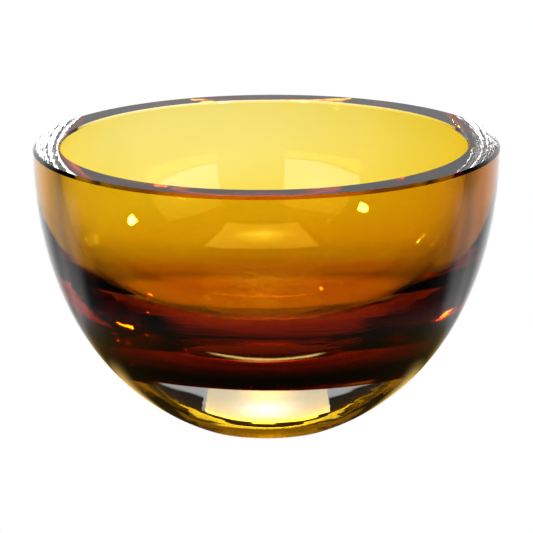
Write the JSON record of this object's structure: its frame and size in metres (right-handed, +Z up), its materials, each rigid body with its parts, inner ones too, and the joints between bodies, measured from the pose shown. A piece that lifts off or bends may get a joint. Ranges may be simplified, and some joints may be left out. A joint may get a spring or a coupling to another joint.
{
  "type": "art glass bowl",
  "caption": "Deep round bowl of thick clear glass over a thin amber inner layer, with a flat cut rim, a solid clear base and a flat ground foot.",
  "frame": {"origin": "centre of the flat ground foot, on the surface the bowl stands on", "axes": "+Z up along the bowl's axis of revolution, out of the mouth; +X and +Y lie in the surface it stands on"},
  "size_m": [0.216, 0.216, 0.133],
  "materials": {
    "clear_glass": "polished colourless lead crystal, cold-cut and polished at the rim",
    "amber_glass": "fire-polished transparent amber glass, fused to the clear glass around it"
  },
  "bodies": {
    "root": {"clear_casing": "clear_glass", "amber_lining": "amber_glass"}
  },
  "joints": []
}
